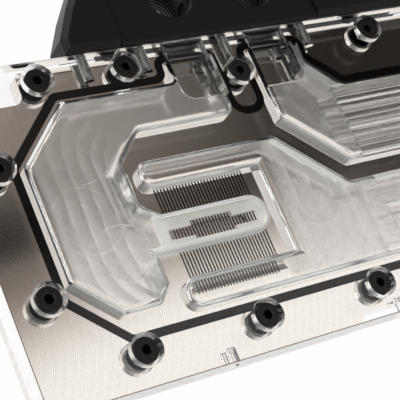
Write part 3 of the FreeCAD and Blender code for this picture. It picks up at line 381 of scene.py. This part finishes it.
def makeNickel():
    material, tree, out = newMaterial("nickelPlating")
    place, x, y, z = objectPlace(tree)
    uneven = noise(tree, place, nickel["unevenScale"], 2.0)
    rows = []
    for middle in nickel["passes"]:
        # the cutter's arc, moved along X: x less the circle's height over its middle line
        off = calc(tree, "SUBTRACT", y, sheetLow.y + middle * mm)
        squares = calc(tree, "SUBTRACT", nickel["cutterReach"] ** 2, calc(tree, "POWER", off, 2.0))
        arc = calc(tree, "SQRT", calc(tree, "MAXIMUM", squares, 0.0))
        along = calc(tree, "MULTIPLY_ADD", uneven, nickel["uneven"], calc(tree, "SUBTRACT", x, arc))
        fine, broad = (
            calc(tree, "SINE", calc(tree, "MULTIPLY", along, 2 * math.pi / (pitch * nickel["linePitch"])))
            for pitch in (1, nickel["broadPitch"]))
        broad = calc(tree, "MULTIPLY_ADD", broad, nickel["broadShare"], 0.5)
        rows.append(calc(tree, "MULTIPLY_ADD", fine, nickel["fineShare"], broad))
    passEdge = sheetLow.y + nickel["passEdge"] * mm
    second = ramp(tree, y, passEdge - nickel["passSoft"], passEdge + nickel["passSoft"])
    lines = blend(tree, second, rows[0], rows[1])
    patches = noise(tree, place, nickel["patchScale"], 3.0)
    rough = calc(tree, "MULTIPLY_ADD", patches, nickel["patchRough"],
                 nickel["rough"] - nickel["patchRough"] / 2)
    shade = calc(tree, "MULTIPLY_ADD", lines, nickel["lineShade"],
                 1 - nickel["lineShade"] * nickel["shadeLevel"])
    plated = addNode(tree, "VectorMath", {0: nickel["colour"], "Scale": shade}, operation="SCALE")
    # painted shade: dark brown deep in the gaps between the fins, where little light reaches
    gapShadeDepth = nickel["gapShadeDepth"]
    deepShade = ramp(tree, z, plateHigh.z - 2 * gapShadeDepth, plateHigh.z - gapShadeDepth / 2, 1.0, 0.0)
    inFins = insideBox(tree, x, y, nickel["finBox"], nickel["finSoft"])
    gapShade = calc(tree, "MULTIPLY", deepShade, inFins)
    colour = blendColour(tree, gapShade, plated.outputs[0], nickel["gapShadeColour"])
    body = addNode(tree, "BsdfPrincipled", {
        "Base Color": colour, "Metallic": 1.0, "Roughness": rough,
        "Normal": relief(tree, calc(tree, "MULTIPLY", lines, nickel["lineDepth"]))})
    tree.links.new(body.outputs[0], out.inputs[0])
    return material


# Rubber, plastics and steel. Grain is the size of a finish's specks, and depth their height

rubber = {"colour": (0.006, 0.006, 0.006, 1), "rough": 0.5, "gloss": 0.3,
          "grain": 0.4 * mm, "depth": 0.01 * mm}
acetal = {"colour": (0.0055, 0.0055, 0.0055, 1), "rough": 0.4, "gloss": 0.16,
          "grain": 0.5 * mm, "depth": 0.006 * mm, "streak": (1, 4, 4)}
coverPlastic = {"colour": (0.0075, 0.0075, 0.0075, 1), "rough": 0.34, "gloss": 0.15,
                "grain": 0.35 * mm, "depth": 0.005 * mm}
blackSteel = {"colour": (0.005, 0.0045, 0.0045, 1), "rough": 0.36, "gloss": 0.26,
              "grain": 0.3 * mm, "depth": 0.006 * mm}
# painted shade: the screws' hex sockets are darker and duller than their heads, as shade in the recess
socketShadeLook = {"colour": (0.0018, 0.0018, 0.0018, 1), "rough": 0.6, "gloss": 0.04,
               "grain": 0.3 * mm, "depth": 0.006 * mm}
jetSteel = {"colour": (0.8, 0.79, 0.77, 1), "rough": 0.4, "gloss": 0.5,
            "grain": 0.3 * mm, "depth": 0.003 * mm, "metallic": 0.5}
# the dark colour for the thread's roots is a painted shade
stainless = {"colour": (0.8, 0.79, 0.77, 1), "rough": 0.14, "rootShadeColour": (0.05, 0.047, 0.044, 1),
             "rootShadeSpan": (0.25, 0.7), "grainScale": 3000.0, "grainRough": 0.12}
# how far the plain finishes' roughness varies with the grain
grainRough = 0.16


def makePlain(name, look):
    # fine grain in the surface and in its gloss
    material, tree, out = newMaterial(name)
    place = objectPlace(tree)[0]
    moved = addNode(tree, "Mapping", {"Vector": place, "Scale": look.get("streak", (1, 1, 1))})
    specks = noise(tree, moved.outputs[0], 1 / look["grain"], 4.0)
    rough = calc(tree, "MULTIPLY_ADD", specks, grainRough, look["rough"] - grainRough / 2)
    body = addNode(tree, "BsdfPrincipled", {
        "Base Color": look["colour"], "Metallic": look.get("metallic", 0.0), "Roughness": rough,
        "Specular IOR Level": look["gloss"],
        "Normal": relief(tree, calc(tree, "MULTIPLY", specks, look["depth"]))})
    tree.links.new(body.outputs[0], out.inputs[0])
    return material


def makeScrewSteel():
    # painted shade: dark roots between bright crests, by the piece's own attribute: 0 on a crest, 1 at a
    # root
    material, tree, out = newMaterial("turnedSteel")
    groove = addNode(tree, "Attribute", attribute_name="groove").outputs["Fac"]
    grain = noise(tree, objectPlace(tree)[0], stainless["grainScale"], 3.0)
    rough = calc(tree, "MULTIPLY_ADD", grain, stainless["grainRough"],
                 stainless["rough"] - stainless["grainRough"] / 2)
    root = ramp(tree, groove, *stainless["rootShadeSpan"])
    colour = blendColour(tree, root, stainless["colour"], stainless["rootShadeColour"])
    body = addNode(tree, "BsdfPrincipled", {"Base Color": colour, "Metallic": 1.0, "Roughness": rough})
    tree.links.new(body.outputs[0], out.inputs[0])
    return material


softRubber = makePlain("softRubber", rubber)
milledAcetal = makePlain("milledAcetal", acetal)
fineCover = makePlain("fineCover", coverPlastic)
oxideSteel = makePlain("oxideSteel", blackSteel)
socketShade = makePlain("socketShade", socketShadeLook)
turnedSteel = makeScrewSteel()
dress("acrylic_top", makeAcrylic())
dress("cold_plate", makeNickel())
dress("main_gasket", softRubber)
dress("channel_seal_1", softRubber)
dress("channel_seal_2", softRubber)
dress("jet_plate", makePlain("mattSteel", jetSteel))
dress("terminal_body", milledAcetal)
dress("left_cover", fineCover)
dress("right_cover", fineCover)

# a hair of air lies between the black parts and the sheet's rear edge
airGap = 0.03 * mm
for nodeName in ("terminal_body", "left_cover", "right_cover", "channel_seal_1", "channel_seal_2"):
    gap = nodes[nodeName].modifiers.new("air", "DISPLACE")
    gap.strength = -airGap
    gap.mid_level = 0.0
print("materials on the block")


# Surfaces on a grid

def gridPiece(name, points, material, keep=None):
    # points has rows, columns and three coordinates; the last column joins the first, and keep picks faces
    # by their centres
    rows, columns = points.shape[:2]
    row, column = np.meshgrid(np.arange(rows - 1), np.arange(columns), indexing="ij")
    after = (column + 1) % columns
    faces = np.stack([row * columns + column, row * columns + after,
                      (row + 1) * columns + after, (row + 1) * columns + column], -1).reshape(-1, 4)
    if keep is not None:
        faces = faces[keep(points.reshape(-1, 3)[faces].mean(1))]
    mesh = bpy.data.meshes.new(name)
    mesh.from_pydata(points.reshape(-1, 3).tolist(), [], faces.tolist())
    mesh.update()
    mesh.polygons.foreach_set("use_smooth", np.ones(len(faces), bool))
    mesh.materials.append(material)
    piece = bpy.data.objects.new(name, mesh)
    bpy.context.scene.collection.objects.link(piece)
    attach(piece, "root")
    return piece


def sharpen(piece, degrees=32):
    # merges the closed poles and leaves crisp edges where faces turn sharply
    work = bmesh.new()
    work.from_mesh(piece.data)
    bmesh.ops.remove_doubles(work, verts=work.verts, dist=0.0005 * mm)
    bmesh.ops.recalc_face_normals(work, faces=work.faces)
    for edge in work.edges:
        if len(edge.link_faces) == 2 and edge.calc_face_angle(0) > math.radians(degrees):
            edge.smooth = False
    work.to_mesh(piece.data)
    work.free()


# Screws

# lengths are in mm, and each socket is turned by turnStep radians more than the last
topScrew = {"thread": 4.0, "pitch": 0.7, "threadDepth": 0.32, "length": 7.0, "turnStep": 0.7,
            "headWidth": 7.0, "headHeight": 2.8, "edge": 0.4, "hex": 2.5, "hexDepth": 1.5}
# this thread is 0.4 mm wider than M3 and reaches 0.15 mm into the acrylic, so that its turns show better
terminalScrew = {"thread": 3.4, "pitch": 0.6, "threadDepth": 0.4, "length": 10.0, "turnStep": 0.5,
                 "headWidth": 5.5, "headHeight": 3.0, "edge": 0.35, "hex": 2.5, "hexDepth": 1.3}
# the first rings of a screw's faces are its socket, which a cone closes; the thread's turns start and end
# runIn from the shank's ends
screwGrid = {"columns": 48, "stepsPerTurn": 8, "socketRings": 3, "bevel": 0.12,
             "coneDepth": 0.25, "coneStart": 0.08, "coneShare": 0.55, "neck": 0.15,
             "runIn": 0.35, "plain": 0.5, "tip": 0.2, "tipShare": 0.6}


def hexRadius(turn, across):
    # a hexagon in polar form: half its width over the cosine of the angle from the nearest flat
    fromFlat = np.mod(turn, math.pi / 3) - math.pi / 6
    return across / 2 / np.cos(fromFlat)


def screwSurface(sizes, turnOffset):
    # a radius round the axis and a height for each row, from the socket's middle over the head and down the
    # thread; heights count from the head's underside
    columns, bevel, neck, runIn = (screwGrid[key] for key in ("columns", "bevel", "neck", "runIn"))
    turn = np.arange(columns) * 2 * math.pi / columns
    hexagon = hexRadius(turn + turnOffset, sizes["hex"])
    headR, headH, edge = sizes["headWidth"] / 2, sizes["headHeight"], sizes["edge"]
    threadR, pitch, length = sizes["thread"] / 2, sizes["pitch"], sizes["length"]
    rootR = threadR - sizes["threadDepth"]
    socketLow = headH - sizes["hexDepth"]
    mouth = hexagon + bevel
    ring = np.ones(columns)
    # the cone at the socket's bottom, the socket's walls and its mouth
    rows = [(0 * ring, socketLow - screwGrid["coneDepth"]),
            (hexagon * screwGrid["coneShare"], socketLow - screwGrid["coneStart"]),
            (hexagon, socketLow), (hexagon, headH - bevel), (mouth, headH)]
    # the head's top, its round edge and its side
    rows += [(ring * (headR - edge) * part + mouth * (1 - part), headH) for part in (0.5, 1.0)]
    for step in np.linspace(0.15, 1, 5) * math.pi / 2:
        rows.append((ring * (headR - edge + edge * math.sin(step)), headH - edge + edge * math.cos(step)))
    rows += [(ring * headR, bevel), (ring * (headR - bevel), 0.0),
             (ring * (threadR + neck), 0.0), (ring * threadR, -neck)]
    count = int((length - screwGrid["plain"]) / pitch * screwGrid["stepsPerTurn"])
    for height in np.linspace(-runIn, -length + runIn, count):
        # the ridge climbs one pitch in a turn; a folded saw gives its two flanks
        phase = np.mod(height / pitch - turn / (2 * math.pi), 1.0)
        flank = np.abs(phase * 2 - 1)
        rows.append((threadR - sizes["threadDepth"] * flank, height))
    rows += [(ring * rootR, -length + screwGrid["tip"]), (ring * threadR * screwGrid["tipShare"], -length),
             (0 * ring, -length)]
    radius = np.array([row[0] for row in rows])
    height = np.array([row[1] for row in rows])[:, None] * ring
    return np.stack([radius * np.cos(turn), radius * np.sin(turn), height], -1) * mm


for number in range(1, 15):
    low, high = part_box("top_screw_%02d" % number)
    points = screwSurface(topScrew, topScrew["turnStep"] * number)
    points += np.array([(low.x + high.x) / 2, (low.y + high.y) / 2, high.z - topScrew["headHeight"] * mm])
    screw = gridPiece("blackScrew%02d" % number, points, oxideSteel)
    # the socket's faces, the first rings, take the painted socket shade
    screw.data.materials.append(socketShade)
    inSocketShade = np.arange(len(screw.data.polygons)) < screwGrid["socketRings"] * screwGrid["columns"]
    screw.data.polygons.foreach_set("material_index", inSocketShade.astype(np.int32))
    sharpen(screw)
    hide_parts("top_screw_%02d" % number)

for number in range(1, 5):
    low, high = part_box("terminal_screw_%d" % number)
    axisX, axisZ = (low.x + high.x) / 2, (low.z + high.z) / 2
    # the surface is turned so that its head points to the rear
    points = screwSurface(terminalScrew, terminalScrew["turnStep"] * number)
    points = points[..., [0, 2, 1]] * np.array([-1, 1, 1])
    points += np.array([axisX, high.y - terminalScrew["headHeight"] * mm, axisZ])
    fromAxis = np.linalg.norm(points[..., [0, 2]] - np.array([axisX, axisZ]), axis=-1)
    screw = gridPiece("steelScrew%d" % number, points, turnedSteel)
    groove = (terminalScrew["thread"] / 2 - fromAxis / mm) / terminalScrew["threadDepth"]
    # the head and the neck under it get no painted root shade
    groove[points[..., 1] > high.y - (terminalScrew["headHeight"] + 0.2) * mm] = 0
    attribute = screw.data.attributes.new("groove", "FLOAT", "POINT")
    attribute.data.foreach_set("value", np.clip(groove, 0, 1).ravel())
    sharpen(screw)
    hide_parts("terminal_screw_%d" % number)
print("18 screws threaded")


# Threads of the two ports

portThread = {"radius": 6.58, "pitch": 1.337, "depth": 0.5, "mouth": 0.75, "runOut": 1.4, "lowRunOut": 6.0,
              "crestWidth": 1.25, "columns": 72, "stepsPerTurn": 10,
              "channelLow": 8.85, "channelHigh": 12.05}


def threadPort(name, portX, portY):
    # the bore's radius less a folded saw that climbs one pitch in a turn and fades at both mouths
    low, high = portThread["mouth"], terminalHigh.z / mm - portThread["mouth"]
    pitch, columns = portThread["pitch"], portThread["columns"]
    turn = np.arange(columns) * 2 * math.pi / columns
    heights = np.linspace(low, high, int((high - low) / pitch * portThread["stepsPerTurn"]))
    angle, height = np.meshgrid(turn, heights)
    phase = np.mod(height / pitch - angle / (2 * math.pi), 1.0)
    ridge = np.clip((1 - np.abs(phase * 2 - 1)) * portThread["crestWidth"], 0, 1)
    fromLow, fromHigh = (height - low) / portThread["lowRunOut"], (high - height) / portThread["runOut"]
    fade = np.clip(np.minimum(fromLow, fromHigh), 0, 1)
    radius = portThread["radius"] - portThread["depth"] * ridge * fade
    wallX, wallY = radius * np.cos(angle) + portX / mm, radius * np.sin(angle) + portY / mm
    points = np.stack([wallX, wallY, height], -1)

    def onWall(centres):
        # the flow channel opens the front half of the wall
        up = centres[:, 2]
        inChannel = (up > portThread["channelLow"] * mm) & (up < portThread["channelHigh"] * mm)
        return ~(inChannel & (centres[:, 1] < portY))
    # the columns run backwards, so that the faces look into the bore
    gridPiece(name, points[:, ::-1] * mm, milledAcetal, keep=onWall)


for number in (1, 2):
    mount = next(m for m in frame["record"]["mounts"] if m["name"] == "port_%d" % number)
    threadPort("portThread%d" % number, mount["pos_m"][0], mount["pos_m"][1])
print("ports threaded")


# Floor, studio and camera

# the camera, fitted to the photograph: degrees, pixels, and mm from the sheet's left front corner
view = {"azimuth": -60.0231, "elevation": 53.4405, "roll": 41.6198, "focal": 1309.893, "frameSize": 400,
        "target": (62.2526, 45.0644), "distance": 350.934, "sensor": 36.0, "clipStart": 0.01}

studio = {
    "floorSize": 6.0,
    "floorWhite": 0.97,
    "paper": (0.85, 0.85, 0.85, 1),
    # strengths: the white sheet, the surroundings, and the dark behind the camera
    "bright": 1.08,
    "ambient": 0.8,
    "behind": 0.14,
    "roomTint": (1.0, 0.88, 0.79, 1),
    "sheetTint": (1.0, 0.99, 0.98, 1),
    "aheadSpan": (0.80, 0.92),    # the cosine from the mirrored view, where the sheet and room fade in
    "leastAhead": 0.05,
    # the white sheet starts at the line v = start + slope u + bow u u, with a soft step that widens with u
    "lineStart": 0.84,
    "lineSlope": -0.6,
    "lineBow": 0.25,
    "lineSoft": (-0.14, 0.24),
    "lineWiden": 0.6,
    # the room darkens from left to right
    "roomSpan": (0.0, 0.75),
    "roomStrength": (0.29, 0.022),
    # a dark bar at the left: its top, its slanting end, its right side, and the share that is left below it
    "barTop": (0.34, 0.6),
    "barSlant": 0.25,
    "barEnd": (0.655, 0.675),
    "barRest": 0.35,
    "barSide": (0.07, 0.15),
    "barDark": 0.87,
    "behindWay": (-0.405, -0.425, 0.81),
    "behindSpan": (0.86, 0.97),
    "window": 0.25,
    "windowWay": (0.516, -0.298, 0.803),
    "windowSpan": (0.93, 0.99),
}
leftLamp = {"place": (-1.2, 0.1, 0.5), "size": 0.7, "power": 7.0}
rearLamp = {"place": (-0.2, 1.3, 0.55), "size": 0.7, "power": 5.0}


def cameraAxes():
    # right, up and backward axes: round the target by azimuth and elevation, then rolled about the view
    azimuth, elevation, roll = (math.radians(view[key]) for key in ("azimuth", "elevation", "roll"))
    back = Vector((math.sin(azimuth) * math.cos(elevation), -math.cos(azimuth) * math.cos(elevation),
                   math.sin(elevation)))
    level = Vector((0, 0, 1)).cross(back).normalized()
    steep = back.cross(level)
    right = level * math.cos(roll) + steep * math.sin(roll)
    up = steep * math.cos(roll) - level * math.sin(roll)
    return right, up, back


right, up, back = cameraAxes()


def makeFloor():
    mesh = bpy.data.meshes.new("floor")
    half = studio["floorSize"] / 2
    corners = [(-half, -half, 0), (half, -half, 0), (half, half, 0), (-half, half, 0)]
    mesh.from_pydata(corners, [], [(0, 1, 2, 3)])
    floor = bpy.data.objects.new("floor", mesh)
    bpy.context.scene.collection.objects.link(floor)
    # paper for the light that it scatters, and a plain white glow for what looks at it
    material, tree, out = newMaterial("whiteFloor")
    path = addNode(tree, "LightPath")
    seen = calc(tree, "ADD", path.outputs["Is Camera Ray"], path.outputs["Is Glossy Ray"])
    seen = calc(tree, "ADD", seen, path.outputs["Is Transmission Ray"], clamp=True)
    paper = addNode(tree, "BsdfDiffuse", {"Color": studio["paper"]})
    glow = addNode(tree, "Emission", {"Color": (1, 1, 1, 1), "Strength": 1.0})
    share = calc(tree, "MULTIPLY", seen, studio["floorWhite"])
    mix = addNode(tree, "MixShader", {0: share, 1: paper.outputs[0], 2: glow.outputs[0]})
    tree.links.new(mix.outputs[0], out.inputs[0])
    mesh.materials.append(material)


def makeWorld():
    # a white sheet with a soft edge and a darker room beside it, where the plate mirrors them
    world = bpy.data.worlds.new("studioWorld")
    bpy.context.scene.world = world
    world.use_nodes = True
    tree = world.node_tree
    tree.nodes.clear()
    toward = addNode(tree, "TexCoord").outputs["Generated"]
    # picture coordinates from 0 to 1 as the level plate mirrors them, with v downward
    toRight, toUp, ahead = (dot(tree, toward, (axis.x, axis.y, -axis.z)) for axis in (right, up, -back))
    safe = calc(tree, "MAXIMUM", ahead, studio["leastAhead"])
    scale = view["focal"] / view["frameSize"]
    u = calc(tree, "MULTIPLY_ADD", calc(tree, "DIVIDE", toRight, safe), scale, 0.5)
    v = calc(tree, "MULTIPLY_ADD", calc(tree, "DIVIDE", toUp, safe), -scale, 0.5)

    line = calc(tree, "MULTIPLY_ADD", u, studio["lineSlope"], studio["lineStart"])
    line = calc(tree, "MULTIPLY_ADD", calc(tree, "MULTIPLY", u, u), studio["lineBow"], line)
    widened = calc(tree, "MULTIPLY_ADD", u, studio["lineWiden"], 1.0)
    past = calc(tree, "MULTIPLY", calc(tree, "SUBTRACT", v, line), widened)
    sheet = ramp(tree, past, *studio["lineSoft"])
    room = ramp(tree, u, *studio["roomSpan"], *studio["roomStrength"], smooth=False)
    tilted = calc(tree, "MULTIPLY_ADD", u, studio["barSlant"], v)
    bar = ramp(tree, tilted, *studio["barEnd"], 1.0, studio["barRest"])
    bar = calc(tree, "MULTIPLY", ramp(tree, v, *studio["barTop"]), bar)
    bar = calc(tree, "MULTIPLY", bar, ramp(tree, u, *studio["barSide"], studio["barDark"], 0.0))
    room = calc(tree, "MULTIPLY", room, calc(tree, "SUBTRACT", 1.0, bar))
    glow = blend(tree, sheet, room, studio["bright"])
    inside = ramp(tree, ahead, *studio["aheadSpan"])

    # the surroundings are dark behind the camera too
    behind = dot(tree, toward, studio["behindWay"])
    outside = ramp(tree, behind, *studio["behindSpan"], studio["ambient"], studio["behind"])
    # a bright window in front, which the sheet's rear edge shows
    window = dot(tree, toward, studio["windowWay"])
    outside = calc(tree, "ADD", outside, ramp(tree, window, *studio["windowSpan"], 0.0, studio["window"]))
    level = blend(tree, inside, outside, glow)
    white = calc(tree, "MAXIMUM", sheet, calc(tree, "SUBTRACT", 1.0, inside))
    tint = blendColour(tree, white, studio["roomTint"], studio["sheetTint"])
    # the camera itself sees plain white
    seen = addNode(tree, "LightPath").outputs["Is Camera Ray"]
    shade = addNode(tree, "Background", {
        "Color": blendColour(tree, seen, tint, (1, 1, 1, 1)), "Strength": blend(tree, seen, level, 1.0)})
    out = addNode(tree, "OutputWorld")
    tree.links.new(shade.outputs[0], out.inputs[0])


def makeLamp(name, lamp):
    data = bpy.data.lights.new(name, "AREA")
    data.shape = "SQUARE"
    data.size = lamp["size"]
    data.energy = lamp["power"]
    made = bpy.data.objects.new(name, data)
    made.location = lamp["place"]
    made.rotation_mode = "QUATERNION"
    made.rotation_quaternion = Vector(lamp["place"]).to_track_quat("Z", "Y")
    bpy.context.scene.collection.objects.link(made)


def makeCamera():
    data = bpy.data.cameras.new("camera")
    data.sensor_width = view["sensor"]
    data.lens = view["focal"] * view["sensor"] / view["frameSize"]
    data.clip_start = view["clipStart"]
    camera = bpy.data.objects.new("camera", data)
    targetX, targetY = view["target"]
    target = Vector((sheetLow.x + targetX * mm, sheetLow.y + targetY * mm, sheetHigh.z))
    turned = Matrix((right, up, back)).transposed().to_4x4()
    camera.matrix_world = Matrix.Translation(target + back * view["distance"] * mm) @ turned
    bpy.context.scene.collection.objects.link(camera)
    bpy.context.scene.camera = camera


makeFloor()
makeWorld()
makeLamp("leftLamp", leftLamp)
makeLamp("rearLamp", rearLamp)
makeCamera()
bpy.context.scene.view_settings.view_transform = "Standard"
print("studio and camera set")
